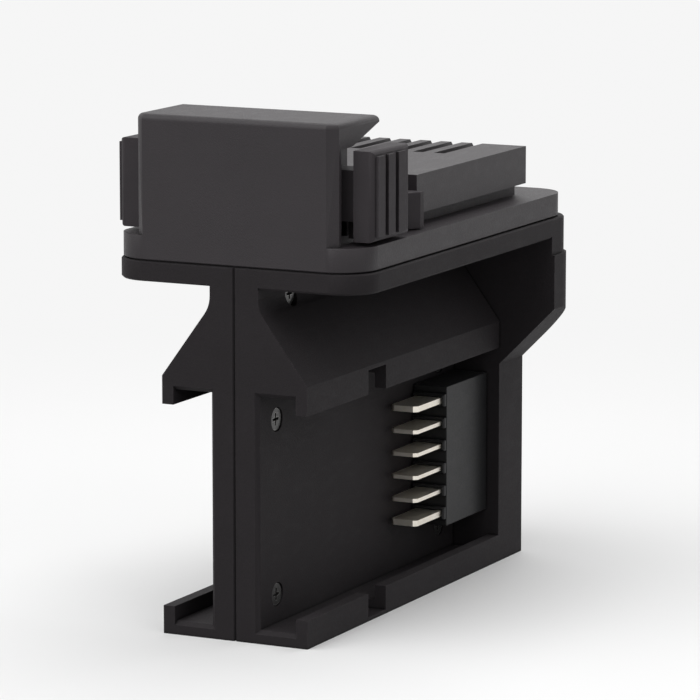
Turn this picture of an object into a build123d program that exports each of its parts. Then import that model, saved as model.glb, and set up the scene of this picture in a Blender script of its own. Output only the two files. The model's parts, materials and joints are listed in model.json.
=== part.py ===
"""Dual battery adapter: two rail sockets under a slide-in head with two latch buttons.

Millimetres, +Z up, the front towards -Y, the origin at the middle of the foot that it stands on.
"""

import os

from build123d import *

os.makedirs("parts", exist_ok=True)

# Body: two mirrored halves that meet at X = 0
DEPTH = 102.0  # front face to the back of the end wall
RAIL_OPENING = 46.6  # between the two walls of a rail socket
LIP_OPENING = 40.6  # between the lips that hold a pack's rail
LIP_THICKNESS = 2.5
SOCKET_WALL = 2.7  # above and below each rail socket
SOCKET_HALF = 16.0  # middle plane to the outer face of a socket
WEB_HALF = 5.3  # middle plane to the floor of a socket
WEB_WALL = 2.5
SHOULDER_RISE = 14.5  # height of the slope from the sockets to the neck
NECK_RISE = 3.9
NECK_ROUND = 6.0  # where the slope meets the neck
FLANGE_THICKNESS = 4.1
FLANGE_HALF = 28.0
CORNER_RADIUS = 7.5  # upright corners of the flange and of the skirt
FLANGE_BEVEL = 0.3
FLANGE_UNDER_BEVEL = 0.4
END_WALL = 12.0  # thickness of the wall that the packs stop against
BRACKET_HALF = 28.6
BRACKET_HEIGHT = 24.0
BRACKET_STEP = 3.6  # from the flange down to where the bracket steps out
KEEPER_START = 27.0  # notches for the hooks of a pack, from the front
KEEPER_LENGTH = 8.0
KEEPER_DEPTH = 1.9
KEEPER_FLOOR = 3.0  # height of the notch above the socket floor
MOUTH_CHAMFER = 0.8
SEAM_BEVEL = 0.35
CUT_MARGIN = 1.0  # how far a cut runs past the face that it opens
NEAR = 0.1  # an edge this close to a face lies on it

# Head cover: skirt, front block and slide rail
SKIRT_HALF = 27.5
SKIRT_HEIGHT = 5.0
SKIRT_SETBACK = 2.0  # the skirt ends this much short of the end wall
SKIRT_BEVEL = 0.4  # along the parting line
COVER_WALL = 2.2
BLOCK_HALF = 22.0
BLOCK_DEPTH = 19.5
BLOCK_HEIGHT = 24.0
BLOCK_CHAMFER = 1.9
BLOCK_EDGE = 1.2
RAIL_CLEARANCE = 0.1  # a rail in a socket, on each side
RAIL_TOP_CLEARANCE = 0.2
RAIL_START = 34.0  # from the front
RAIL_SETBACK = 14.0  # from the back
RAIL_LEAD = 1.0
POCKET_START = 3.4
POCKET_HEIGHT = 18.9
RAMP_START = 7.5  # the roof of the pocket rises from here to the back of the block
RAMP_RISE = 3.7
RAMP_ROUND = 6.0
POCKET_EDGE = 0.7

# Latch buttons, seen from the middle plane outwards
LATCH_TRAVEL = 3.5
ARM_CLEARANCE = 0.8  # from a pressed hook arm to the middle of the head
POCKET_CLEARANCE = 2.0  # from a pressed button's root to the pocket's inner wall
BUTTON_OUTER = 27.9
BUTTON_INNER = 23.5
BUTTON_START = 5.0
BUTTON_LENGTH = 16.0
BUTTON_LIFT = 0.8  # above the shelf
BUTTON_HEIGHT = 17.7
BUTTON_ROUND = 1.1
GRIP_HEIGHT = 0.6
GRIP_WIDTH = 2.9
GRIP_PITCH = 4.5
GRIP_COUNT = 3
GRIP_START = 2.4  # from the button's front to the middle of the first rib
GRIP_MARGIN = 1.0
STEM_SETBACK = 9.5  # from the front
STEM_LIFT = 9.5  # above the shelf
STEM_LENGTH = 6.0
STEM_HEIGHT = 10.0
STEM_CLEARANCE = 0.2
COLLAR_THICKNESS = 1.8
COLLAR_MARGIN = 1.5  # the collar's reach past the stem
SHANK_INNER = 20.5  # thick root between button and hook arm
SHANK_START = 9.0
ARM_INNER = 20.3
ARM_THICKNESS = 2.5
ARM_END = 33.0
ARM_HEIGHT = 7.2
ARM_GAP = 0.3  # over the shelf
HOOK_REACH = 2.4
HOOK_LENGTH = 6.0
HOOK_FLAT = 1.5

# Springs and the guide between them
SPRING_RADIUS = 2.8
SPRING_WIRE = 0.6
SPRING_TURNS = 5
SPRING_GAP = 0.05
GUIDE_HALF = 2.0
GUIDE_CLEARANCE = 0.1
POST_RADIUS = 1.8
COLLAR_POST = 1.5
POST_CLEARANCE = 0.8  # between the posts inside a pressed spring

# Contacts: six places, the outer two for the supply, the rest for data
CONTACT_PITCH = 4.8
CONTACT_COUNT = 6
BLADE_REACH = 13.0  # out of the front of a terminal block
BLADE_WIDTH = 6.0
BLADE_LIFT = 1.0  # over the socket floor
POWER_BLADE = 1.2
DATA_BLADE = 0.8
TAIL_SETBACK = 6.0  # from the front of the terminal block
TAIL_LENGTH = 8.0
BLADE_TIP = 0.8

# Terminal blocks in the sockets
TERMINAL_LENGTH = 20.0
TERMINAL_RISE = 7.8
BLADE_MARGIN = 0.2  # of the key through the web, past the outer blades
KEY_MARGIN = 2.0  # of the block, past the key at top and bottom
KEY_SETBACK = 4.0  # of the key, from both ends of the block
KEY_CLEARANCE = 0.1

# Top terminal block and its clips
TOP_BLOCK_LENGTH = 21.5
TOP_BLOCK_MARGIN = 1.0  # past the outer dividers
TOP_BLOCK_HEIGHT = 6.0
TOP_BLOCK_GAP = 0.3
DIVIDER = 1.0
SLOT_WIDTH = 2.4
SLOT_LENGTH = 20.0
CLIP_LENGTH = 10.0
CLIP_SETBACK = 8.0  # from the end of the rail
CLIP_HALF = 1.3
CLIP_PINCH = 0.8
CLIP_HEIGHT = 6.4
CLIP_SHEET = 0.5

# Power board and what is soldered to it
BOARD_START = 18.0  # from the front
BOARD_OVERLAP = 1.0  # past the end of the sockets
BOARD_HALF_HEIGHT = 14.5
BOARD_THICKNESS = 1.6
PAD_RADIUS = 2.0
MOSFET = (5.2, 6.2, 1.1)
MOSFET_PITCH = 8.0
MOSFET_SETBACK = 8.0  # from the front of the board
CAPACITOR = (3.2, 1.6, 1.6)
CAPACITOR_PITCH = 5.0
CAPACITOR_SETBACK = 8.0  # before the fuses
FUSE = (10.0, 3.0, 1.8)
FUSE_SETBACK = 6.0  # before the terminal blocks
CONTROLLER = (8.0, 8.0, 1.2)
CONTROLLER_SETBACK = 4.0

# Wires from the board up through the neck
WIRE_RADIUS = 0.9
DATA_WIRE_RADIUS = 0.5
WIRE_GAP = 0.05
WIRE_SETBACK = 4.0  # from the front of the duct
DATA_WIRE_SETBACK = 12.0
DATA_WIRE_PITCH = 1.5
WIRE_FOOT = 7.0  # soldered length on the board
WIRE_RUN = 4.1  # height of the level runs over the flange
WIRE_BEND = 3.0
DATA_WIRE_BEND = 1.5
DUCT_LENGTH = 19.0  # slot through the flange
DUCT_SETBACK = 1.0  # before the top terminal block

# Screws
SHANK_RADIUS = 1.1
SCREW_CLEARANCE = 0.25
HEAD_RADIUS = 2.2
HEAD_HEIGHT = 1.5
HEAD_SINK = 1.8
BOSS_RADIUS = 2.9
CROSS_LENGTH = 2.6
CROSS_WIDTH = 0.6
CROSS_DEPTH = 0.8
BODY_SCREW_LENGTH = 7.6
HEAD_SCREW_LENGTH = 6.6
SCREW_SKIN = 0.5  # left in front of a screw's tip
BODY_SCREWS_FRONT = 8.0
BODY_SCREWS_SETBACK = 13.0  # from the front of the terminal blocks
BODY_SCREWS_MARGIN = 5.7  # from the socket walls
NECK_SCREWS_SETBACK = 14.0
NECK_SCREWS_DROP = 2.6  # below the flange
HEAD_SCREWS_FRONT = 11.0
HEAD_SCREWS_SETBACK = 6.0  # before the end of the sockets
HEAD_SCREWS_SIDE = 22.5

# Heights
channel_middle = SOCKET_WALL + RAIL_OPENING / 2
socket_top = 2 * SOCKET_WALL + RAIL_OPENING
neck_foot = socket_top + SHOULDER_RISE
flange_under = neck_foot + NECK_RISE
parting = flange_under + FLANGE_THICKNESS
shelf = parting + SKIRT_HEIGHT
head_top = shelf + BLOCK_HEIGHT
bracket_step = flange_under - BRACKET_STEP
bracket_foot = bracket_step - BRACKET_HEIGHT

# Places along the depth
front = -DEPTH / 2
rear = DEPTH / 2
channel_end = rear - END_WALL
skirt_end = rear - SKIRT_SETBACK
terminal_start = channel_end - TERMINAL_LENGTH
tail_start = terminal_start + TAIL_SETBACK
rail_start = front + RAIL_START
rail_end = rear - RAIL_SETBACK
rail_back = rail_end - COVER_WALL
top_block_end = rail_back - TOP_BLOCK_GAP
top_block_start = top_block_end - TOP_BLOCK_LENGTH
duct_end = top_block_start - DUCT_SETBACK
duct_start = duct_end - DUCT_LENGTH
board_front = front + BOARD_START
board_rear = channel_end + BOARD_OVERLAP

# The slide rail repeats the space inside a socket
lip_inner = SOCKET_HALF - LIP_THICKNESS
channel_depth = SOCKET_HALF - WEB_HALF
rail_half = RAIL_OPENING / 2 - RAIL_CLEARANCE
rail_web_half = LIP_OPENING / 2 - RAIL_CLEARANCE
rail_groove = shelf + LIP_THICKNESS + RAIL_TOP_CLEARANCE
rail_top = shelf + channel_depth - RAIL_TOP_CLEARANCE
ceiling = rail_top - COVER_WALL

cavity_half = WEB_HALF - WEB_WALL
board_half = BOARD_THICKNESS / 2
contact_places = [CONTACT_PITCH * (i - (CONTACT_COUNT - 1) / 2) for i in range(CONTACT_COUNT)]
stem_y = front + STEM_SETBACK
stem_z = shelf + STEM_LIFT
centre_half = ARM_INNER - LATCH_TRAVEL - ARM_CLEARANCE
pocket_half = SHANK_INNER - LATCH_TRAVEL - POCKET_CLEARANCE
wall_inner = pocket_half - COVER_WALL
collar_inner = wall_inner - STEM_CLEARANCE - COLLAR_THICKNESS
guide_post_end = collar_inner - COLLAR_POST - LATCH_TRAVEL - POST_CLEARANCE


def across(y):
    """Upright plane at y that faces the front: extruding goes towards -Y."""
    return Plane.XZ.offset(-y)


def box(x0, x1, y0, y1, z0, z1, mode=Mode.ADD):
    """Box between two corners, in the part that is being built."""
    with Locations(((x0 + x1) / 2, (y0 + y1) / 2, (z0 + z1) / 2)):
        Box(abs(x1 - x0), abs(y1 - y0), abs(z1 - z0), mode=mode)


def bar(x0, x1, y, z, radius, mode=Mode.ADD):
    """Round bar along X, in the part that is being built."""
    with Locations(Location(((x0 + x1) / 2, y, z), (0, 90, 0))):
        Cylinder(radius, abs(x1 - x0), mode=mode)


def save(part, label):
    """Label a finished piece and write it."""
    part.label = label
    export_step(part, f"parts/{label}.step")
    print(f"{label}: {len(part.solids())} solids, {part.volume:.1f} mm3")


# Screw places as (y, z) in the middle plane
body_screw_places = [
    (front + BODY_SCREWS_FRONT, SOCKET_WALL + BODY_SCREWS_MARGIN),
    (front + BODY_SCREWS_FRONT, socket_top - SOCKET_WALL - BODY_SCREWS_MARGIN),
    (terminal_start + BODY_SCREWS_SETBACK, SOCKET_WALL + BODY_SCREWS_MARGIN),
    (terminal_start + BODY_SCREWS_SETBACK, socket_top - SOCKET_WALL - BODY_SCREWS_MARGIN),
    (front + NECK_SCREWS_SETBACK, flange_under - NECK_SCREWS_DROP),
    (channel_end - BOSS_RADIUS, flange_under - NECK_SCREWS_DROP),
]
head_screw_places = [
    (side * HEAD_SCREWS_SIDE, y)
    for side in (-1, 1)
    for y in (front + HEAD_SCREWS_FRONT, channel_end - HEAD_SCREWS_SETBACK)
]
pad_reach = BOARD_HALF_HEIGHT - PAD_RADIUS
board_pads = [
    (y, channel_middle + dz)
    for y in (board_front + PAD_RADIUS, board_rear - PAD_RADIUS)
    for dz in (-pad_reach, pad_reach)
]
body_screw_seat = WEB_HALF - HEAD_SINK
head_screw_seat = flange_under + HEAD_SINK
key_start = terminal_start + KEY_SETBACK
key_end = channel_end - KEY_SETBACK
key_half = contact_places[-1] + POWER_BLADE / 2 + BLADE_MARGIN
terminal_half = key_half + KEY_MARGIN


def body_half(side):
    """One half of the body; side is 1 for the right half and -1 for the left."""
    slope = SHOULDER_RISE / (SOCKET_HALF - WEB_HALF)
    slant = (1 + slope**2) ** 0.5
    core_reach = SOCKET_HALF - WEB_WALL * slant / slope
    core_top = socket_top + (core_reach - cavity_half) * slope
    inside_flange = flange_under + FLANGE_UNDER_BEVEL
    past_bracket = BRACKET_HALF + CUT_MARGIN
    outline = [
        (0, 0),
        (SOCKET_HALF, 0),
        (SOCKET_HALF, socket_top),
        (WEB_HALF, neck_foot),
        (WEB_HALF, inside_flange),
        (0, inside_flange),
    ]
    socket = [
        (WEB_HALF, channel_middle - RAIL_OPENING / 2),
        (lip_inner, channel_middle - RAIL_OPENING / 2),
        (lip_inner, channel_middle - LIP_OPENING / 2),
        (SOCKET_HALF + CUT_MARGIN, channel_middle - LIP_OPENING / 2),
        (SOCKET_HALF + CUT_MARGIN, channel_middle + LIP_OPENING / 2),
        (lip_inner, channel_middle + LIP_OPENING / 2),
        (lip_inner, channel_middle + RAIL_OPENING / 2),
        (WEB_HALF, channel_middle + RAIL_OPENING / 2),
    ]
    cavity = [
        (0, SOCKET_WALL),
        (cavity_half, SOCKET_WALL),
        (cavity_half, socket_top),
        (core_reach, socket_top),
        (cavity_half, core_top),
        (cavity_half, flange_under),
        (0, flange_under),
    ]
    with BuildPart() as half:
        # Flange, with a bevel along the parting line
        with BuildSketch(Plane.XY.offset(flange_under)) as plan:
            with Locations((side * FLANGE_HALF / 2, 0)):
                Rectangle(FLANGE_HALF, DEPTH)
            fillet(plan.vertices().sort_by(lambda v: abs(v.X))[-2:], CORNER_RADIUS)
        extrude(amount=FLANGE_THICKNESS)
        for face, bevel in ((-1, FLANGE_BEVEL), (0, FLANGE_UNDER_BEVEL)):
            rim = half.faces().sort_by(Axis.Z)[face].edges().filter_by(lambda e: abs(e.center().X) > NEAR)
            chamfer(rim, bevel)

        # Rear bracket that carries the flange, sloped below
        for reach, low, high in (
            (BRACKET_HALF, bracket_foot, bracket_step),
            (FLANGE_HALF, bracket_step, inside_flange),
        ):
            with BuildSketch(Plane.XY.offset(low)) as plan:
                with Locations((side * reach / 2, rear - END_WALL / 2)):
                    Rectangle(reach, END_WALL)
                fillet(plan.vertices().sort_by(lambda v: abs(v.X) + v.Y)[-1:], CORNER_RADIUS)
            extrude(amount=high - low)
        with BuildSketch(across(rear)):
            with BuildLine():
                Polyline(
                    (side * SOCKET_HALF, bracket_foot),
                    (side * past_bracket, bracket_foot),
                    (side * past_bracket, bracket_foot + past_bracket - SOCKET_HALF),
                    close=True,
                )
            make_face()
        extrude(amount=END_WALL, mode=Mode.SUBTRACT)

        # Web, sockets and shoulder
        with BuildSketch(across(rear)) as section:
            with BuildLine():
                Polyline(*[(side * x, z) for x, z in outline], close=True)
            make_face()
            fillet(section.vertices().sort_by_distance((side * WEB_HALF, neck_foot))[0], NECK_ROUND)
        extrude(amount=DEPTH)
        with BuildSketch(across(channel_end)):
            with BuildLine():
                Polyline(*[(side * x, z) for x, z in socket], close=True)
            make_face()
        extrude(amount=channel_end - front, mode=Mode.SUBTRACT)
        mouth = half.edges().filter_by(lambda e: abs(e.center().Y - front) < NEAR)
        mouth = mouth.filter_by(lambda e: WEB_HALF - NEAR < abs(e.center().X) < lip_inner - NEAR)
        mouth = mouth.filter_by(lambda e: abs(e.center().Z - channel_middle) < RAIL_OPENING / 2 + NEAR)
        chamfer(mouth, MOUTH_CHAMFER)

        # Hollow inside, and the duct for the wires
        with BuildSketch(across(rear - WEB_WALL)):
            with BuildLine():
                Polyline(*[(side * x, z) for x, z in cavity], close=True)
            make_face()
        extrude(amount=DEPTH - 2 * WEB_WALL, mode=Mode.SUBTRACT)
        box(0, side * cavity_half, duct_start, duct_end, flange_under, parting, mode=Mode.SUBTRACT)

        # Notches that the hooks of a pack catch in
        for low, high in (
            (channel_middle - RAIL_OPENING / 2 - KEEPER_DEPTH, channel_middle - LIP_OPENING / 2),
            (channel_middle + LIP_OPENING / 2, channel_middle + RAIL_OPENING / 2 + KEEPER_DEPTH),
        ):
            keeper = front + KEEPER_START
            box(
                side * (WEB_HALF + KEEPER_FLOOR),
                side * (SOCKET_HALF + CUT_MARGIN),
                keeper,
                keeper + KEEPER_LENGTH,
                low,
                high,
                mode=Mode.SUBTRACT,
            )

        # Bevel along the seam of the two halves
        seam = half.edges().filter_by(lambda e: abs(e.center().X) < NEAR)
        ends = seam.filter_by(Axis.Z).filter_by(lambda e: abs(e.center().Y) > rear - NEAR)
        foot = seam.filter_by(Axis.Y).filter_by(lambda e: e.center().Z < NEAR)
        chamfer(ends + foot, SEAM_BEVEL)

        # Window for the key of the terminal block
        box(
            side * cavity_half,
            side * WEB_HALF,
            key_start - KEY_CLEARANCE,
            key_end + KEY_CLEARANCE,
            channel_middle - key_half - KEY_CLEARANCE,
            channel_middle + key_half + KEY_CLEARANCE,
            mode=Mode.SUBTRACT,
        )

        # Pads that clamp the board
        for y, z in board_pads:
            bar(side * board_half, side * cavity_half, y, z, PAD_RADIUS)

        # Screw bosses: heads sit in the right half, threads bite in the left
        for y, z in body_screw_places:
            bar(0, side * cavity_half, y, z, BOSS_RADIUS)
            if side > 0:
                bar(0, body_screw_seat, y, z, SHANK_RADIUS + SCREW_CLEARANCE, mode=Mode.SUBTRACT)
                bar(body_screw_seat, SOCKET_HALF, y, z, HEAD_RADIUS + SCREW_CLEARANCE, mode=Mode.SUBTRACT)
            else:
                tip = body_screw_seat - BODY_SCREW_LENGTH - SCREW_SKIN
                bar(tip, 0, y, z, SHANK_RADIUS, mode=Mode.SUBTRACT)
        for x, y in head_screw_places:
            if x * side > 0:
                with Locations((x, y, flange_under)):
                    Cylinder(
                        HEAD_RADIUS + SCREW_CLEARANCE,
                        HEAD_SINK,
                        align=(Align.CENTER, Align.CENTER, Align.MIN),
                        mode=Mode.SUBTRACT,
                    )
                    Cylinder(
                        SHANK_RADIUS + SCREW_CLEARANCE,
                        FLANGE_THICKNESS,
                        align=(Align.CENTER, Align.CENTER, Align.MIN),
                        mode=Mode.SUBTRACT,
                    )
    return half.part


save(body_half(-1), "body_half_left")
save(body_half(1), "body_half_right")


# Head cover
with BuildPart() as head_cover:
    # Front block with chamfered upright corners
    with BuildSketch(Plane.XY.offset(shelf)) as plan:
        with Locations((0, front + BLOCK_DEPTH / 2)):
            Rectangle(2 * BLOCK_HALF, BLOCK_DEPTH)
        chamfer(plan.vertices().group_by(Axis.Y)[0], BLOCK_CHAMFER)
    extrude(amount=BLOCK_HEIGHT)
    fillet(head_cover.faces().sort_by(Axis.Z)[-1].edges(), BLOCK_EDGE)

    # Latch pockets, open to the side and to the back, with a rising roof
    pocket_front = front + POCKET_START
    pocket_back = front + BLOCK_DEPTH + CUT_MARGIN
    pocket_top = shelf + POCKET_HEIGHT
    ramp_start = front + RAMP_START
    ramp_slope = RAMP_RISE / (BLOCK_DEPTH - RAMP_START)
    for side in (-1, 1):
        with BuildSketch(Plane.YZ.offset(side * pocket_half)) as pocket:
            with BuildLine():
                Polyline(
                    (pocket_front, shelf),
                    (pocket_front, pocket_top),
                    (ramp_start, pocket_top),
                    (pocket_back, pocket_top + ramp_slope * (pocket_back - ramp_start)),
                    (pocket_back, shelf),
                    close=True,
                )
            make_face()
            fillet(pocket.vertices().sort_by_distance((ramp_start, pocket_top))[0], RAMP_ROUND)
        extrude(amount=side * (BLOCK_HALF - pocket_half + CUT_MARGIN), mode=Mode.SUBTRACT)
    jambs = head_cover.edges().filter_by(Axis.Z)
    jambs = jambs.filter_by(lambda e: abs(e.center().Y - pocket_front) < NEAR)
    fillet(jambs.filter_by(lambda e: abs(e.center().X) > BLOCK_HALF - NEAR), POCKET_EDGE)

    # Skirt
    with BuildSketch(Plane.XY.offset(parting)) as plan:
        with Locations((0, (front + skirt_end) / 2)):
            Rectangle(2 * SKIRT_HALF, skirt_end - front)
        fillet(plan.vertices(), CORNER_RADIUS)
    extrude(amount=SKIRT_HEIGHT)
    chamfer(head_cover.faces().sort_by(Axis.Z)[0].edges(), SKIRT_BEVEL)

    # Narrow middle, then the rail with its grooves
    box(-centre_half, centre_half, front + BLOCK_DEPTH - COVER_WALL, rail_start, shelf, rail_top)
    with BuildSketch(across(rail_end)):
        with Locations((0, (shelf + rail_groove) / 2)):
            Rectangle(2 * rail_web_half, rail_groove - shelf)
        with Locations((0, (rail_groove + rail_top) / 2)):
            Rectangle(2 * rail_half, rail_top - rail_groove)
    extrude(amount=rail_end - rail_start)
    lead = head_cover.edges().filter_by(lambda e: abs(e.center().Y - rail_end) < NEAR)
    chamfer(lead.filter_by(lambda e: e.center().Z > rail_groove + NEAR), RAIL_LEAD)

    # Hollows: skirt, front block, middle and rail
    with BuildSketch(Plane.XY.offset(parting)) as plan:
        with Locations((0, (front + skirt_end) / 2)):
            Rectangle(2 * (SKIRT_HALF - COVER_WALL), skirt_end - front - 2 * COVER_WALL)
        fillet(plan.vertices(), CORNER_RADIUS - COVER_WALL)
    extrude(amount=SKIRT_HEIGHT - COVER_WALL, mode=Mode.SUBTRACT)
    block_front = front + COVER_WALL
    block_back = front + BLOCK_DEPTH - COVER_WALL
    middle_half = centre_half - COVER_WALL
    under_half = rail_web_half - COVER_WALL
    block_roof = head_top - COVER_WALL
    box(-wall_inner, wall_inner, block_front, block_back, parting, block_roof, mode=Mode.SUBTRACT)
    box(
        -middle_half,
        middle_half,
        front + BLOCK_DEPTH,
        rail_start + COVER_WALL,
        parting,
        ceiling,
        mode=Mode.SUBTRACT,
    )
    box(
        -under_half,
        under_half,
        rail_start + COVER_WALL,
        rail_back,
        parting,
        ceiling,
        mode=Mode.SUBTRACT,
    )

    # Windows for the latch stems
    for side in (-1, 1):
        box(
            side * wall_inner,
            side * pocket_half,
            stem_y - STEM_LENGTH / 2 - STEM_CLEARANCE,
            stem_y + STEM_LENGTH / 2 + STEM_CLEARANCE,
            stem_z - STEM_HEIGHT / 2 - STEM_CLEARANCE,
            stem_z + STEM_HEIGHT / 2 + STEM_CLEARANCE,
            mode=Mode.SUBTRACT,
        )

    # Contact slots, open at the top and at the back of the rail
    for x in contact_places:
        box(
            x - SLOT_WIDTH / 2,
            x + SLOT_WIDTH / 2,
            rail_end - SLOT_LENGTH,
            rail_end,
            rail_groove,
            rail_top,
            mode=Mode.SUBTRACT,
        )

    # Screw bosses
    boss_height = SKIRT_HEIGHT - COVER_WALL
    for x, y in head_screw_places:
        with Locations((x, y, parting)):
            Cylinder(BOSS_RADIUS, boss_height, align=(Align.CENTER, Align.CENTER, Align.MIN))
    for x, y in head_screw_places:
        with Locations((x, y, parting)):
            Cylinder(
                SHANK_RADIUS,
                head_screw_seat + HEAD_SCREW_LENGTH - parting,
                align=(Align.CENTER, Align.CENTER, Align.MIN),
                mode=Mode.SUBTRACT,
            )
save(head_cover.part, "head_cover")


def latch_button(side):
    """Button, stem, collar and hook arm in one piece."""
    y0 = front + BUTTON_START
    y1 = y0 + BUTTON_LENGTH
    z0 = shelf + BUTTON_LIFT
    z1 = z0 + BUTTON_HEIGHT
    arm_end = front + ARM_END
    arm_outer = ARM_INNER + ARM_THICKNESS
    with BuildPart() as latch:
        # Rounded button
        box(side * BUTTON_INNER, side * BUTTON_OUTER, y0, y1, z0, z1)
        outer_face = latch.faces().sort_by(lambda f: abs(f.center().X))[-1]
        fillet(outer_face.edges(), BUTTON_ROUND)

        # Upright grip ribs
        for i in range(GRIP_COUNT):
            y = y0 + GRIP_START + i * GRIP_PITCH
            box(
                side * BUTTON_INNER,
                side * (BUTTON_OUTER + GRIP_HEIGHT),
                y - GRIP_WIDTH / 2,
                y + GRIP_WIDTH / 2,
                z0 + GRIP_MARGIN,
                z1 - GRIP_MARGIN,
            )

        # Stem through the window, and the collar behind it
        box(
            side * collar_inner,
            side * BUTTON_INNER,
            stem_y - STEM_LENGTH / 2,
            stem_y + STEM_LENGTH / 2,
            stem_z - STEM_HEIGHT / 2,
            stem_z + STEM_HEIGHT / 2,
        )
        box(
            side * collar_inner,
            side * (collar_inner + COLLAR_THICKNESS),
            stem_y - STEM_LENGTH / 2 - COLLAR_MARGIN,
            stem_y + STEM_LENGTH / 2 + COLLAR_MARGIN,
            stem_z - STEM_HEIGHT / 2 - COLLAR_MARGIN,
            stem_z + STEM_HEIGHT / 2 + COLLAR_MARGIN,
        )
        bar(side * (collar_inner - COLLAR_POST), side * collar_inner, stem_y, stem_z, POST_RADIUS)

        # Arm with the hook that holds the adapter in the tool
        arm_low = shelf + ARM_GAP
        box(side * SHANK_INNER, side * BUTTON_INNER, front + SHANK_START, y1, z0, stem_z + STEM_HEIGHT / 2)
        box(side * ARM_INNER, side * arm_outer, y1 - COVER_WALL, arm_end, arm_low, arm_low + ARM_HEIGHT)
        with BuildSketch(Plane.XY.offset(arm_low)):
            with BuildLine():
                Polyline(
                    (side * arm_outer, arm_end - HOOK_LENGTH),
                    (side * (arm_outer + HOOK_REACH), arm_end - HOOK_FLAT),
                    (side * (arm_outer + HOOK_REACH), arm_end),
                    (side * arm_outer, arm_end),
                    close=True,
                )
            make_face()
        extrude(amount=ARM_HEIGHT)
    return latch.part


save(latch_button(-1), "latch_button_left")
save(latch_button(1), "latch_button_right")


# Guide that the two springs push against
with BuildPart() as latch_guide:
    box(
        -GUIDE_HALF,
        GUIDE_HALF,
        front + COVER_WALL + GUIDE_CLEARANCE,
        front + BLOCK_DEPTH - COVER_WALL - GUIDE_CLEARANCE,
        parting,
        head_top - COVER_WALL - GUIDE_CLEARANCE,
    )
    bar(-guide_post_end, guide_post_end, stem_y, stem_z, POST_RADIUS)
save(latch_guide.part, "latch_guide")


def latch_spring(side):
    """Coil spring from the guide to the collar of a latch."""
    start = GUIDE_HALF + SPRING_GAP + SPRING_WIRE / 2
    length = collar_inner - SPRING_GAP - SPRING_WIRE / 2 - start
    with BuildPart() as spring:
        with BuildLine() as coil:
            Helix(
                length / SPRING_TURNS,
                length,
                SPRING_RADIUS - SPRING_WIRE / 2,
                center=(side * start, stem_y, stem_z),
                direction=(side, 0, 0),
            )
        with BuildSketch(Plane(origin=coil.line @ 0, z_dir=coil.line % 0)):
            Circle(SPRING_WIRE / 2)
        sweep()
    return spring.part


save(latch_spring(-1), "latch_spring_left")
save(latch_spring(1), "latch_spring_right")


def blade_outline(side):
    """Outline of a blade with its tail to the board, in the plane of Z."""
    inner = WEB_HALF + BLADE_LIFT
    outer = inner + BLADE_WIDTH
    tip = terminal_start - BLADE_REACH
    tail = tail_start
    points = [
        (outer - BLADE_TIP, tip),
        (outer, tip + BLADE_TIP),
        (outer, tail + TAIL_LENGTH),
        (board_half, tail + TAIL_LENGTH),
        (board_half, tail),
        (inner, tail),
        (inner, tip + BLADE_TIP),
        (inner + BLADE_TIP, tip),
    ]
    return [(side * x, y) for x, y in points]


def blades(side, places, thickness):
    """Flat blades that stand in a socket, one at each place."""
    with BuildPart() as plates:
        for place in places:
            with BuildSketch(Plane.XY.offset(channel_middle + place - thickness / 2)):
                with BuildLine():
                    Polyline(*blade_outline(side), close=True)
                make_face()
            extrude(amount=thickness)
    return plates.part


def terminal_block(side):
    """Moulded block that holds the blades of one socket."""
    with BuildPart() as holder:
        box(
            side * WEB_HALF,
            side * (WEB_HALF + TERMINAL_RISE),
            terminal_start,
            channel_end,
            channel_middle - terminal_half,
            channel_middle + terminal_half,
        )
        box(
            side * cavity_half,
            side * WEB_HALF,
            key_start,
            key_end,
            channel_middle - key_half,
            channel_middle + key_half,
        )
        for place in contact_places:
            thickness = POWER_BLADE if place in (contact_places[0], contact_places[-1]) else DATA_BLADE
            with BuildSketch(Plane.XY.offset(channel_middle + place - thickness / 2)):
                with BuildLine():
                    Polyline(*blade_outline(side), close=True)
                make_face()
            extrude(amount=thickness, mode=Mode.SUBTRACT)
    return holder.part


for side, name in ((-1, "left"), (1, "right")):
    save(terminal_block(side), f"{name}_terminal_block")
    save(blades(side, contact_places[-1:], POWER_BLADE), f"{name}_blade_positive")
    save(blades(side, contact_places[:1], POWER_BLADE), f"{name}_blade_negative")
    save(blades(side, contact_places[1:-1], DATA_BLADE), f"{name}_blades_data")


# Top terminal block: a base with a bay for each clip
clip_seat = parting + TOP_BLOCK_HEIGHT
bay_top = ceiling - TOP_BLOCK_GAP
top_block_half = (CONTACT_PITCH * CONTACT_COUNT + DIVIDER) / 2 + TOP_BLOCK_MARGIN
with BuildPart() as top_terminal_block:
    box(-top_block_half, top_block_half, top_block_start, top_block_end, parting, clip_seat)
    for i in range(CONTACT_COUNT + 1):
        x = CONTACT_PITCH * (i - CONTACT_COUNT / 2)
        box(x - DIVIDER / 2, x + DIVIDER / 2, top_block_start, top_block_end, clip_seat, bay_top)
save(top_terminal_block.part, "top_terminal_block")


def clips(places):
    """Sprung clips that grip the blades of the tool, one at each place."""
    low = clip_seat + CLIP_SHEET / 2
    waist = low + CLIP_HEIGHT * 0.65
    with BuildPart() as springs:
        for x in places:
            with BuildSketch(across(rail_end - CLIP_SETBACK)):
                with BuildLine():
                    Polyline(
                        (x - CLIP_HALF, low + CLIP_HEIGHT),
                        (x - CLIP_PINCH, waist),
                        (x - CLIP_HALF, low),
                        (x + CLIP_HALF, low),
                        (x + CLIP_PINCH, waist),
                        (x + CLIP_HALF, low + CLIP_HEIGHT),
                    )
                trace(line_width=CLIP_SHEET)
            extrude(amount=CLIP_LENGTH)
    return springs.part


save(clips(contact_places[-1:]), "top_clip_positive")
save(clips(contact_places[:1]), "top_clip_negative")
save(clips(contact_places[1:-1]), "top_clips_data")


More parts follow.
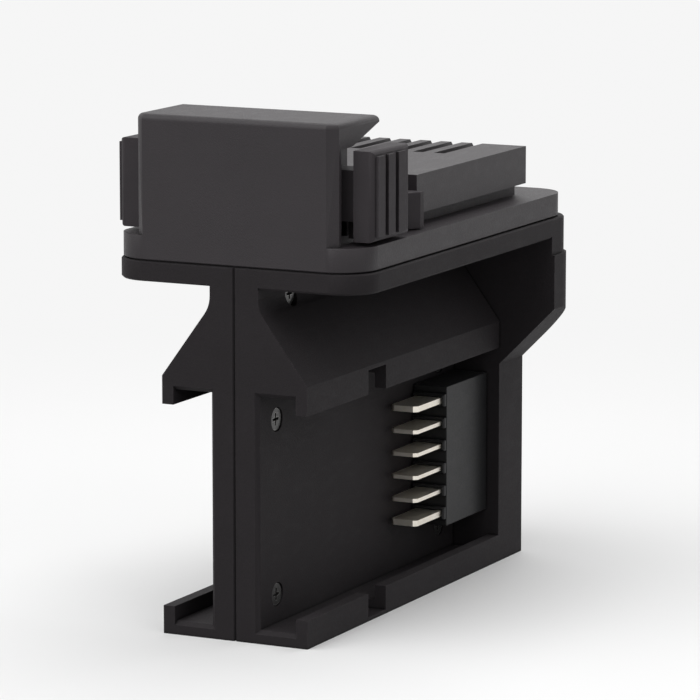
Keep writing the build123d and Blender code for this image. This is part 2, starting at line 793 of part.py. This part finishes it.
# Power board in the middle plane, and its components
with BuildPart() as power_board:
    box(
        -board_half,
        board_half,
        board_front,
        board_rear,
        channel_middle - BOARD_HALF_HEIGHT,
        channel_middle + BOARD_HALF_HEIGHT,
    )
save(power_board.part, "power_board")


def chips(side, size, places):
    """Flat components on one face of the board, at (y, z)."""
    length, height, thickness = size
    with BuildPart() as parts:
        for y, z in places:
            box(
                side * board_half,
                side * (board_half + thickness),
                y - length / 2,
                y + length / 2,
                z - height / 2,
                z + height / 2,
            )
    return parts.part


mosfet_places = [
    (board_front + MOSFET_SETBACK + i * MOSFET_PITCH, channel_middle + row * MOSFET_PITCH / 2)
    for i in range(3)
    for row in (-1, 1)
]
fuse_y = terminal_start - FUSE_SETBACK
fuse_places = [(fuse_y, channel_middle + row * MOSFET_PITCH) for row in (-1, 1)]
capacitor_places = [
    (fuse_y - CAPACITOR_SETBACK - i * CAPACITOR_PITCH, channel_middle - MOSFET_PITCH) for i in range(5)
]
save(chips(1, MOSFET, mosfet_places), "board_mosfets")
save(chips(-1, CAPACITOR, capacitor_places), "board_capacitors")
save(chips(-1, FUSE, fuse_places), "board_fuses")
save(chips(1, CONTROLLER, [(terminal_start - CONTROLLER_SETBACK, channel_middle)]), "board_controller")


def wires(routes, radius, bend):
    """Round wires: up from the board, out to the side, back to the terminal block."""
    foot = channel_middle + BOARD_HALF_HEIGHT - WIRE_FOOT
    run = parting + WIRE_RUN
    with BuildPart() as leads:
        for x, y, end_x in routes:
            corners = [(x, y, run)]
            if end_x != x:
                corners.append((end_x, y, run))
            with BuildLine() as route:
                FilletPolyline((x, y, foot), *corners, (end_x, top_block_start, run), radius=bend)
            with BuildSketch(Plane(origin=(x, y, foot), z_dir=(0, 0, 1))):
                Circle(radius)
            sweep(path=route.wire())
    return leads.part


wire_side = board_half + WIRE_GAP + WIRE_RADIUS
data_wire_side = board_half + WIRE_GAP + DATA_WIRE_RADIUS
supply_y = duct_start + WIRE_SETBACK
save(wires([(wire_side, supply_y, contact_places[-1])], WIRE_RADIUS, WIRE_BEND), "supply_wire_positive")
save(wires([(-wire_side, supply_y, contact_places[0])], WIRE_RADIUS, WIRE_BEND), "supply_wire_negative")
data_wire_y = duct_start + DATA_WIRE_SETBACK
data_routes = []
for side in (-1, 1):
    data_routes.append((side * data_wire_side, data_wire_y, side * data_wire_side))
    data_routes.append((side * data_wire_side, data_wire_y - DATA_WIRE_PITCH, side * contact_places[-2]))
save(wires(data_routes, DATA_WIRE_RADIUS, DATA_WIRE_BEND), "data_wires")


def screw_body(length):
    """Round-headed screw that points up, its head's seat at the origin."""
    with BuildPart() as screw:
        Cylinder(SHANK_RADIUS, length, align=(Align.CENTER, Align.CENTER, Align.MIN))
        Cylinder(HEAD_RADIUS, HEAD_HEIGHT, align=(Align.CENTER, Align.CENTER, Align.MAX))
        with Locations((0, 0, -HEAD_HEIGHT)):
            Box(
                CROSS_LENGTH,
                CROSS_WIDTH,
                CROSS_DEPTH,
                align=(Align.CENTER, Align.CENTER, Align.MIN),
                mode=Mode.SUBTRACT,
            )
            Box(
                CROSS_WIDTH,
                CROSS_LENGTH,
                CROSS_DEPTH,
                align=(Align.CENTER, Align.CENTER, Align.MIN),
                mode=Mode.SUBTRACT,
            )
    return screw.part


head_screw = screw_body(HEAD_SCREW_LENGTH)
body_screw = screw_body(BODY_SCREW_LENGTH)
with BuildPart() as head_screws:
    for x, y in head_screw_places:
        with Locations((x, y, head_screw_seat)):
            add(head_screw)
save(head_screws.part, "head_screws")

with BuildPart() as body_screws:
    for y, z in body_screw_places:
        with Locations(Location((body_screw_seat, y, z), (0, -90, 0))):
            add(body_screw)
save(body_screws.part, "body_screws")
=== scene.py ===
import json
import math

import bmesh
import bpy
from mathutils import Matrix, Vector

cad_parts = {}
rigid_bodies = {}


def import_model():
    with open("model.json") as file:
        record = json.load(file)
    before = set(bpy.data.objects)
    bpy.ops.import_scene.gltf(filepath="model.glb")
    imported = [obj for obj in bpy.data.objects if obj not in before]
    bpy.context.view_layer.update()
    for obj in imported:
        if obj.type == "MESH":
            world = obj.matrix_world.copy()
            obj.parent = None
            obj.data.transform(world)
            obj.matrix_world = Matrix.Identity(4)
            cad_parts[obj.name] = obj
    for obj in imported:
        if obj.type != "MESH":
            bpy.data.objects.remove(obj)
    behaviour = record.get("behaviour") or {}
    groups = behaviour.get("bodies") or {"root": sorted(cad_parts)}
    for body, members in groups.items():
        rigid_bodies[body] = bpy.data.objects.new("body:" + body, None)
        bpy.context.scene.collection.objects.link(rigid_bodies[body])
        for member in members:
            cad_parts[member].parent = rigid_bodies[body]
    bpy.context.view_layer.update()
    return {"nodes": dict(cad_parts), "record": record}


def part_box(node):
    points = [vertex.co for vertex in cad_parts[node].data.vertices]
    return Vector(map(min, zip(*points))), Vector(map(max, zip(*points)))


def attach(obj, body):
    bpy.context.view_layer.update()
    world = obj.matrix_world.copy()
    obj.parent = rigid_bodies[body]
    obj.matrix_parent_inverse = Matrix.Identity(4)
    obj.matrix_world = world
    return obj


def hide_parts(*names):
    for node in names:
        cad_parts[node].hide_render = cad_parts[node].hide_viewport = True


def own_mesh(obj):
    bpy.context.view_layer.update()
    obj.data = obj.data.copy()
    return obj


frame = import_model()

# Camera: the photograph's place and direction, aimed at the middle of the adapter
CAMERA_PLACE = Vector((0.3934, -0.7941, 0.2003))
CAMERA_AIM = Vector((0.0, 0.0, 0.0505))
CAMERA_LENS = 225.0  # in millimetres
SENSOR_WIDTH = 36.0  # in millimetres

# Surroundings
WORLD_LEVEL = 0.3  # what the world throws onto the object
BACKDROP_LEVEL = 0.92  # what is seen behind the object, where 1 is white
FLOOR_SEEN = 0.85  # paint of the floor where it is looked at
FLOOR_BOUNCE = 0.3  # what the floor throws back onto the object
FLOOR_REACH = 6.0  # from the middle of the floor to its sides, in metres
FADE_START = 0.05  # of the floor into the backdrop, in metres from its middle
FADE_END = 0.36

# Lamps: name, place, aim and side in metres, power in watts
LAMPS = [
    ("key", (-0.4, -0.85, 1.15), (0, 0, 0.05), 1.9, 21.0),
    ("fill", (1.2, -0.6, 0.8), (0, 0, 0.05), 0.9, 3.2),
    ("rim", (0.1, 0.7, 1.3), (0, 0, 0.06), 1.3, 11.0),
]

# Rounding of the moulded edges, in metres
EDGE_ROUND = 0.00022
EDGE_ANGLE = math.radians(35)  # least turn of an edge that is rounded
WELD_DISTANCE = 0.000002
MOULDED_NODES = [
    "head_cover",
    "body_half_left",
    "body_half_right",
    "latch_button_left",
    "latch_button_right",
    "left_terminal_block",
    "right_terminal_block",
]

# Latch springs, in metres
SPRING_WIRE = 0.0006
SPRING_TURNS = 5.0  # besides one closed turn at each end
SPRING_CLOSED = 1.08  # wire thicknesses that a closed turn takes up
SPRING_STEPS = 36  # of each turn
SPRING_SIDES = 12  # of the wire

# Collars round the roots of the blades, in metres
BLADE_COUNT = 6  # in each socket, from the negative up to the positive one
BLADE_WIDTH = 0.006
COLLAR_WALL = 0.0007
COLLAR_PLAY = 0.00005
COLLAR_RISE = 0.0011  # out of the front of the terminal block
COLLAR_ROOT = 0.0002  # sunk in the terminal block
COLLAR_CHAMFER = 0.0003
COLLAR_ANGLE = math.radians(60)  # least turn of an edge that is rounded

# Plastics: colour, roughness and depth of the grain in millimetres
HEAD_PLASTIC = ((0.0268, 0.0229, 0.0256), 0.5, 0.05)
# Body halves: a darker plastic than the head's, partly their own tone and partly painted shade
BODY_PLASTIC = ((0.019, 0.0165, 0.0181), 0.7, 0.05)
LATCH_PLASTIC = ((0.038, 0.0335, 0.0367), 0.6, 0.035)
INSULATOR_PLASTIC = ((0.02, 0.02, 0.021), 0.42, 0.02)
CHIP_RESIN = ((0.02, 0.02, 0.02), 0.6, 0.01)
HEAD_GLOSS = 0.3
PLAIN_GLOSS = 0.15

# Patterns of the plastics and their painted shade: scales in blotches per millimetre, reaches in
# millimetres
GRAIN_SCALE = 3.4
MOTTLE_SCALE = 0.11
MOTTLE_DEPTH = 0.25
RUB_SCALE = 0.55
EDGE_REACH = 0.5
SCREW_EDGE_REACH = 0.25
# reach of the painted shade in a seam or inner corner
PAINTED_SHADE_REACH = 0.8
PAINTED_SEAM_SHADE = 0.25  # painted shade deep in a seam or inner corner, as a share of the plastic's own colour

# Metals: colour and roughness
CONTACT_METAL = ((0.78, 0.74, 0.66), 0.38)
SPRING_METAL = ((0.6, 0.6, 0.6), 0.28)
TARNISH = (0.86, 0.78, 0.66)  # share of each colour that tarnish leaves

# Board: its tracks, in millimetres
TRACK_GAP = 0.14
TRACK_LENGTH = 5.2
TRACK_PITCH = 1.3

MM = 1000.0  # materials measure their patterns in millimetres


class Tree:
    """Node tree of one material, with short calls for the nodes that it needs."""

    def __init__(self, name):
        self.material = bpy.data.materials.new(name)
        self.material.use_nodes = True
        self.nodes = self.material.node_tree.nodes
        self.links = self.material.node_tree.links
        self.shader = self.nodes["Principled BSDF"]
        coords = self.nodes.new("ShaderNodeTexCoord").outputs["Object"]
        self.place = self.vector("SCALE", coords, scale=MM)

    def feed(self, socket, value):
        """Links a socket, or sets its constant."""
        if isinstance(value, bpy.types.NodeSocket):
            self.links.new(value, socket)
        else:
            socket.default_value = value

    def set(self, name, value):
        """Feeds one input of the surface shader."""
        self.feed(self.shader.inputs[name], value)

    def vector(self, operation, a, b=None, scale=None):
        node = self.nodes.new("ShaderNodeVectorMath")
        node.operation = operation
        self.feed(node.inputs[0], a)
        if b is not None:
            self.feed(node.inputs[1], b)
        if scale is not None:
            node.inputs["Scale"].default_value = scale
        return node.outputs["Value" if operation == "DOT_PRODUCT" else "Vector"]

    def math(self, operation, a, b=0.0):
        node = self.nodes.new("ShaderNodeMath")
        node.operation = operation
        self.feed(node.inputs[0], a)
        self.feed(node.inputs[1], b)
        return node.outputs[0]

    def noise(self, scale, detail=2.0, stretch=(1, 1, 1)):
        """Noise with `scale` blotches per millimetre."""
        node = self.nodes.new("ShaderNodeTexNoise")
        self.feed(node.inputs["Vector"], self.vector("MULTIPLY", self.place, stretch))
        node.inputs["Scale"].default_value = scale
        node.inputs["Detail"].default_value = detail
        return node.outputs["Fac"]

    def span(self, value, low, high, to_low=0.0, to_high=1.0):
        """Maps a range of a value onto another, clamped."""
        node = self.nodes.new("ShaderNodeMapRange")
        self.feed(node.inputs["Value"], value)
        ends = {"From Min": low, "From Max": high, "To Min": to_low, "To Max": to_high}
        for name, number in ends.items():
            node.inputs[name].default_value = number
        return node.outputs["Result"]

    def mix(self, factor, a, b):
        """Mixes two colours."""
        node = self.nodes.new("ShaderNodeMix")
        node.data_type = "RGBA"
        self.feed(node.inputs[0], factor)
        self.feed(node.inputs[6], a)
        self.feed(node.inputs[7], b)
        return node.outputs[2]

    def bump(self, height, depth, strength=1.0, under=None):
        """Bump of a real depth in millimetres, over another bump if given."""
        node = self.nodes.new("ShaderNodeBump")
        node.inputs["Strength"].default_value = strength
        node.inputs["Distance"].default_value = depth / MM
        self.feed(node.inputs["Height"], height)
        if under is not None:
            self.feed(node.inputs["Normal"], under)
        return node.outputs["Normal"]

    def edges(self, reach):
        """1 on outer edges and corners, 0 on flat faces, over a reach in millimetres."""
        node = self.nodes.new("ShaderNodeBevel")
        node.samples = 6
        node.inputs["Radius"].default_value = reach / MM
        flat = self.nodes.new("ShaderNodeNewGeometry").outputs["Normal"]
        return self.math("SUBTRACT", 1.0, self.vector("DOT_PRODUCT", node.outputs["Normal"], flat))

    def painted_crevice_shade(self, reach):
        """Mask of painted shade from ambient occlusion: 1 deep in a seam or inner corner, 0 on open
        faces, over a reach in millimetres.
        """
        node = self.nodes.new("ShaderNodeAmbientOcclusion")
        node.samples = 8
        node.inputs["Distance"].default_value = reach / MM
        return self.span(node.outputs["AO"], 0.5, 0.92, 1.0, 0.0)


def shade(colour, factor):
    """A colour made lighter or darker, with full alpha."""
    return tuple(min(1.0, c * factor) for c in colour) + (1.0,)


def moulded_plastic(name, plastic, edge_light=1.6, gloss=PLAIN_GLOSS):
    """Moulded plastic with a fine eroded grain, faint mottling, rubbed edges and painted shade in every
    seam and inner corner.
    """
    colour, roughness, grain_depth = plastic
    tree = Tree(name)
    grain = tree.noise(GRAIN_SCALE, 3.0)
    mottle = tree.noise(MOTTLE_SCALE, 3.0)
    rubs = tree.noise(RUB_SCALE, 5.0, stretch=(1.0, 0.35, 1.0))
    body = tree.mix(tree.span(mottle, 0.35, 0.65), shade(colour, 0.96), shade(colour, 1.05))
    edges = tree.span(tree.edges(EDGE_REACH), 0.015, 0.16)
    worn = tree.math("MULTIPLY", edges, tree.span(rubs, 0.38, 0.62))
    rubbed = tree.mix(worn, body, shade(colour, edge_light))
    # painted shade: ambient occlusion darkens each seam and inner corner of the plastic
    painted_shade = tree.painted_crevice_shade(PAINTED_SHADE_REACH)
    tree.set("Base Color", tree.mix(painted_shade, rubbed, shade(colour, PAINTED_SEAM_SHADE)))
    rough = tree.span(grain, 0.3, 0.7, roughness - 0.06, roughness + 0.05)
    polish = tree.span(rubs, 0.5, 0.75, 0.0, -0.05)
    tree.set("Roughness", tree.math("ADD", rough, polish))
    tree.set("Specular IOR Level", gloss)
    waves = tree.bump(mottle, MOTTLE_DEPTH, 0.25)
    tree.set("Normal", tree.bump(grain, grain_depth, 0.8, under=waves))
    return tree.material


def contact_metal(name, metal, along):
    """Stamped and plated metal with drawing lines and a little tarnish."""
    colour, roughness = metal
    tree = Tree(name)
    stretch = tuple(0.05 if axis == along else 1.0 for axis in "XYZ")
    lines = tree.noise(6.0, 3.0, stretch=stretch)
    tarnish = tree.noise(0.5, 4.0)
    dull = shade([c * t for c, t in zip(colour, TARNISH)], 1.0)
    spots = tree.span(tarnish, 0.45, 0.75, 0.0, 0.35)
    tree.set("Base Color", tree.mix(spots, shade(colour, 1.0), dull))
    tree.set("Metallic", 1.0)
    tree.set("Roughness", tree.span(lines, 0.3, 0.7, roughness - 0.06, roughness + 0.08))
    tree.set("Normal", tree.bump(lines, 0.02, 0.5))
    return tree.material


def screw_metal(name):
    """Blackened steel with a fine grain and bright rubbed edges."""
    tree = Tree(name)
    grain = tree.noise(5.0, 4.0)
    patches = tree.noise(0.8, 3.0)
    body = tree.mix(patches, (0.05, 0.05, 0.052, 1.0), (0.11, 0.108, 0.105, 1.0))
    worn = tree.span(tree.edges(SCREW_EDGE_REACH), 0.02, 0.2, 0.0, 0.8)
    tree.set("Base Color", tree.mix(worn, body, (0.42, 0.41, 0.4, 1.0)))
    tree.set("Metallic", 0.9)
    tree.set("Roughness", tree.span(grain, 0.3, 0.7, 0.32, 0.5))
    tree.set("Normal", tree.bump(grain, 0.015, 0.6))
    return tree.material


def circuit_board(name):
    """Green lacquer over copper tracks, with a glass weave below."""
    tree = Tree(name)
    axes = tree.nodes.new("ShaderNodeSeparateXYZ")
    tree.feed(axes.inputs[0], tree.place)
    tracks = tree.nodes.new("ShaderNodeTexBrick")
    tracks.offset_frequency = 3
    flat = tree.nodes.new("ShaderNodeCombineXYZ")
    tree.feed(flat.inputs[0], axes.outputs["Y"])
    tree.feed(flat.inputs[1], axes.outputs["Z"])
    tree.feed(tracks.inputs["Vector"], flat.outputs[0])
    tracks.inputs["Scale"].default_value = 1.0
    tracks.inputs["Mortar Size"].default_value = TRACK_GAP
    tracks.inputs["Brick Width"].default_value = TRACK_LENGTH
    tracks.inputs["Row Height"].default_value = TRACK_PITCH
    copper = tracks.outputs["Fac"]
    weave = tree.noise(2.5, 1.0, stretch=(1.0, 1.0, 0.2))
    lacquer = tree.mix(weave, (0.008, 0.075, 0.03, 1.0), (0.012, 0.1, 0.042, 1.0))
    tree.set("Base Color", tree.mix(copper, lacquer, (0.03, 0.2, 0.07, 1.0)))
    tree.set("Roughness", tree.span(weave, 0.3, 0.7, 0.22, 0.34))
    tree.set("Normal", tree.bump(copper, 0.035, 0.7))
    return tree.material


def fired_ceramic(name):
    """Tan component body with a fine sandy surface."""
    tree = Tree(name)
    sand = tree.noise(6.0, 3.0)
    tree.set("Base Color", tree.mix(sand, (0.36, 0.25, 0.14, 1.0), (0.5, 0.38, 0.24, 1.0)))
    tree.set("Roughness", tree.span(sand, 0.3, 0.7, 0.45, 0.62))
    tree.set("Normal", tree.bump(sand, 0.02, 0.5))
    return tree.material


def wire_insulation(name, colour):
    """Soft extruded insulation with a satin skin."""
    tree = Tree(name)
    skin = tree.noise(2.0, 3.0, stretch=(1.0, 1.0, 0.2))
    tree.set("Base Color", tree.mix(skin, shade(colour, 0.9), shade(colour, 1.1)))
    tree.set("Roughness", tree.span(skin, 0.3, 0.7, 0.38, 0.52))
    tree.set("Normal", tree.bump(skin, 0.02, 0.5))
    return tree.material


def finish_nodes():
    """Gives every node of the frame its finish, by its slot in the record save the body halves, which
    get a darker plastic that is partly painted shade, and adds the fine pieces.
    """
    finishes = {
        "housing": moulded_plastic("housing_plastic", HEAD_PLASTIC, gloss=HEAD_GLOSS),
        "body": moulded_plastic("body_plastic", BODY_PLASTIC),
        "latch": moulded_plastic("latch_plastic", LATCH_PLASTIC),
        "insulator": moulded_plastic("insulator_plastic", INSULATOR_PLASTIC, 1.3),
        "contact": contact_metal("plated_contact", CONTACT_METAL, "Y"),
        "spring_steel": contact_metal("spring_wire", SPRING_METAL, "X"),
        "screw_steel": screw_metal("blackened_steel"),
        "board": circuit_board("board_lacquer"),
        "chip": moulded_plastic("chip_resin", CHIP_RESIN, 1.2),
        "ceramic": fired_ceramic("component_ceramic"),
        "wire_red": wire_insulation("red_insulation", (0.42, 0.02, 0.018)),
        "wire_black": wire_insulation("black_insulation", (0.02, 0.02, 0.02)),
        "wire_white": wire_insulation("white_insulation", (0.62, 0.62, 0.6)),
    }
    for part in frame["record"]["subparts"]:
        node = frame["nodes"][part["node"]]
        # The body halves take the darker body plastic instead of their slot's, partly painted shade.
        slot = "body" if part["node"].startswith("body_half") else part["material_slot"]
        node.data.materials.clear()
        node.data.materials.append(finishes[slot])
    for joint in frame["record"]["behaviour"]["joints"]:
        coil_spring(joint, finishes["spring_steel"])
    for socket in ("left", "right"):
        blade_collars(socket, finishes["insulator"])


def round_edges(names):
    """Rounds the sharp edges of moulded nodes a little, as a mould does."""
    for name in names:
        node = frame["nodes"][name]
        weld = node.modifiers.new("weld", "WELD")
        weld.merge_threshold = WELD_DISTANCE
        bevel = node.modifiers.new("edge_round", "BEVEL")
        bevel.width = EDGE_ROUND
        bevel.segments = 2
        bevel.limit_method = "ANGLE"
        bevel.angle_limit = EDGE_ANGLE
        bevel.use_clamp_overlap = True
        bevel.harden_normals = True


def mesh_piece(name, points, faces, finish):
    """New object of closed surfaces, with the outside of each face outwards."""
    mesh = bpy.data.meshes.new(name)
    mesh.from_pydata(points, [], faces)
    shell = bmesh.new()
    shell.from_mesh(mesh)
    bmesh.ops.recalc_face_normals(shell, faces=shell.faces)
    shell.to_mesh(mesh)
    shell.free()
    mesh.materials.append(finish)
    piece = bpy.data.objects.new(name, mesh)
    bpy.context.scene.collection.objects.link(piece)
    return piece


def blade_collars(socket, finish):
    """Moulded collars round the blades of one socket, on the front of their terminal block."""
    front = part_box(socket + "_terminal_block")[0][1]
    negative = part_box(socket + "_blade_negative")
    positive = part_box(socket + "_blade_positive")
    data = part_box(socket + "_blades_data")
    lowest = (negative[0][2] + negative[1][2]) / 2
    pitch = ((positive[0][2] + positive[1][2]) / 2 - lowest) / (BLADE_COUNT - 1)
    side = math.copysign(1.0, negative[0][0] + negative[1][0])
    middle = side * (max(abs(negative[0][0]), abs(negative[1][0])) - BLADE_WIDTH / 2)
    tip = front - COLLAR_RISE
    root = front + COLLAR_ROOT
    section = [
        (COLLAR_WALL, root),
        (COLLAR_WALL, tip + COLLAR_CHAMFER),
        (COLLAR_WALL - COLLAR_CHAMFER, tip),
        (COLLAR_PLAY, tip),
        (COLLAR_PLAY, root),
    ]
    points = []
    faces = []
    for i in range(BLADE_COUNT):
        thickness = negative[1][2] - negative[0][2]
        if 0 < i < BLADE_COUNT - 1:
            data_span = pitch * (BLADE_COUNT - 3)
            thickness = data[1][2] - data[0][2] - data_span
        start = len(points)
        for wall, y in section:
            half_x = BLADE_WIDTH / 2 + wall
            half_z = thickness / 2 + wall
            for sign_x, sign_z in ((-1, -1), (1, -1), (1, 1), (-1, 1)):
                points.append((middle + sign_x * half_x, y, lowest + pitch * i + sign_z * half_z))
        for ring in range(len(section)):
            here = start + 4 * ring
            beyond = start + 4 * ((ring + 1) % len(section))
            for corner in range(4):
                following = (corner + 1) % 4
                faces.append((here + corner, here + following, beyond + following, beyond + corner))
    collars = mesh_piece(socket + "_blade_collars", points, faces, finish)
    bevel = collars.modifiers.new("edge_round", "BEVEL")
    bevel.width = COLLAR_CHAMFER / 2
    bevel.segments = 2
    bevel.limit_method = "ANGLE"
    bevel.angle_limit = COLLAR_ANGLE
    bevel.harden_normals = True
    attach(collars, "housing")


def coil_spring(joint, finish):
    """Coil with closed ends in the place of a latch's spring."""
    squeezed = joint["deforming_nodes"][0]
    low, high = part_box(squeezed["node"])
    anchor = squeezed["fixed_end_x_m"]
    side = math.copysign(1.0, anchor)
    near = min(abs(low[0]), abs(high[0])) + SPRING_WIRE / 2
    far = max(abs(low[0]), abs(high[0])) - SPRING_WIRE / 2
    middle = [(low[i] + high[i]) / 2 for i in (1, 2)]
    radius = (high[1] - low[1] - SPRING_WIRE) / 2
    closed = SPRING_WIRE * SPRING_CLOSED
    pitch = (far - near - 2 * closed) / SPRING_TURNS
    steps = int((SPRING_TURNS + 2) * SPRING_STEPS)
    points = []
    for step in range(steps + 1):
        turn = step / SPRING_STEPS
        x = near + closed * min(turn, 1.0) + closed * max(turn - SPRING_TURNS - 1, 0.0)
        x += pitch * min(max(turn - 1.0, 0.0), SPRING_TURNS)
        out = (math.cos(turn * math.tau), math.sin(turn * math.tau))
        for corner in range(SPRING_SIDES):
            angle = corner / SPRING_SIDES * math.tau
            reach = radius + SPRING_WIRE / 2 * math.cos(angle)
            shift = SPRING_WIRE / 2 * math.sin(angle)
            points.append((side * (x + shift), middle[0] + reach * out[0], middle[1] + reach * out[1]))
    last = steps * SPRING_SIDES
    faces = [tuple(range(SPRING_SIDES)), tuple(range(last, last + SPRING_SIDES))]
    for step in range(steps):
        for corner in range(SPRING_SIDES):
            following = (corner + 1) % SPRING_SIDES
            ring = step * SPRING_SIDES
            beyond = ring + SPRING_SIDES
            faces.append((ring + corner, beyond + corner, beyond + following, ring + following))
    spring = mesh_piece(squeezed["node"] + "_coil", points, faces, finish)
    spring.data.shade_smooth()
    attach(spring, joint["parent"])
    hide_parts(squeezed["node"])
    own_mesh(spring)


def seen_ray(tree):
    """1 for rays that look, mirror or pass through, 0 for rays that only light."""
    path = tree.nodes.new("ShaderNodeLightPath").outputs
    factor = path["Is Camera Ray"]
    for name in ("Is Glossy Ray", "Is Transmission Ray"):
        node = tree.nodes.new("ShaderNodeMath")
        node.operation = "MAXIMUM"
        tree.links.new(factor, node.inputs[0])
        tree.links.new(path[name], node.inputs[1])
        factor = node.outputs[0]
    return factor


def pale_floor():
    """Pale floor that keeps the shadow of the object and fades into the backdrop."""
    mesh = bpy.data.meshes.new("floor")
    corners = [(x * FLOOR_REACH, y * FLOOR_REACH, 0) for x, y in ((-1, -1), (1, -1), (1, 1), (-1, 1))]
    mesh.from_pydata(corners, [], [(0, 1, 2, 3)])
    floor = bpy.data.objects.new("floor", mesh)
    bpy.context.scene.collection.objects.link(floor)
    material = bpy.data.materials.new("floor_paint")
    material.use_nodes = True
    shader = material.node_tree.nodes["Principled BSDF"]
    shader.inputs["Roughness"].default_value = 0.9
    shader.inputs["Specular IOR Level"].default_value = 0.1
    tree = material.node_tree
    looked_at = seen_ray(tree)
    paint = tree.nodes.new("ShaderNodeMapRange")
    paint.inputs["To Min"].default_value = FLOOR_BOUNCE
    paint.inputs["To Max"].default_value = FLOOR_SEEN
    tree.links.new(looked_at, paint.inputs["Value"])
    tree.links.new(paint.outputs["Result"], shader.inputs["Base Color"])
    place = tree.nodes.new("ShaderNodeTexCoord").outputs["Object"]
    away = tree.nodes.new("ShaderNodeVectorMath")
    away.operation = "LENGTH"
    tree.links.new(place, away.inputs[0])
    fade = tree.nodes.new("ShaderNodeMapRange")
    fade.interpolation_type = "SMOOTHSTEP"
    fade.inputs["From Min"].default_value = FADE_START
    fade.inputs["From Max"].default_value = FADE_END
    tree.links.new(away.outputs["Value"], fade.inputs["Value"])
    seen = tree.nodes.new("ShaderNodeMath")
    seen.operation = "MULTIPLY"
    tree.links.new(fade.outputs["Result"], seen.inputs[0])
    tree.links.new(looked_at, seen.inputs[1])
    glow = tree.nodes.new("ShaderNodeEmission")
    glow.inputs["Color"].default_value = (BACKDROP_LEVEL, BACKDROP_LEVEL, BACKDROP_LEVEL, 1.0)
    both = tree.nodes.new("ShaderNodeMixShader")
    tree.links.new(seen.outputs[0], both.inputs[0])
    tree.links.new(shader.outputs[0], both.inputs[1])
    tree.links.new(glow.outputs[0], both.inputs[2])
    tree.links.new(both.outputs[0], tree.nodes["Material Output"].inputs["Surface"])
    mesh.materials.append(material)


def area_light(name, place, aim, size, power):
    """Square soft box that points at a place."""
    data = bpy.data.lights.new(name, "AREA")
    data.size = size
    data.energy = power
    lamp = bpy.data.objects.new(name, data)
    lamp.location = place
    lamp.rotation_euler = (Vector(aim) - Vector(place)).to_track_quat("-Z", "Y").to_euler()
    bpy.context.scene.collection.objects.link(lamp)


def studio_light():
    """Pale surroundings with a key light from the left front and two weaker ones."""
    world = bpy.data.worlds.new("studio")
    world.use_nodes = True
    tree = world.node_tree
    level = tree.nodes.new("ShaderNodeMapRange")
    level.inputs["To Min"].default_value = WORLD_LEVEL
    level.inputs["To Max"].default_value = BACKDROP_LEVEL
    tree.links.new(seen_ray(tree), level.inputs["Value"])
    tree.nodes["Background"].inputs["Color"].default_value = (1.0, 1.0, 1.0, 1.0)
    tree.links.new(level.outputs["Result"], tree.nodes["Background"].inputs["Strength"])
    bpy.context.scene.world = world
    for lamp in LAMPS:
        area_light(*lamp)


def place_camera():
    """Camera at the photograph's viewing angle."""
    data = bpy.data.cameras.new("camera")
    data.sensor_width = SENSOR_WIDTH
    data.lens = CAMERA_LENS
    data.clip_start = 0.05
    camera = bpy.data.objects.new("camera", data)
    camera.location = CAMERA_PLACE
    camera.rotation_euler = (CAMERA_AIM - CAMERA_PLACE).to_track_quat("-Z", "Y").to_euler()
    bpy.context.scene.collection.objects.link(camera)
    bpy.context.scene.camera = camera


place_camera()
finish_nodes()
round_edges(MOULDED_NODES)
pale_floor()
studio_light()
bpy.context.scene.view_settings.view_transform = "Standard"
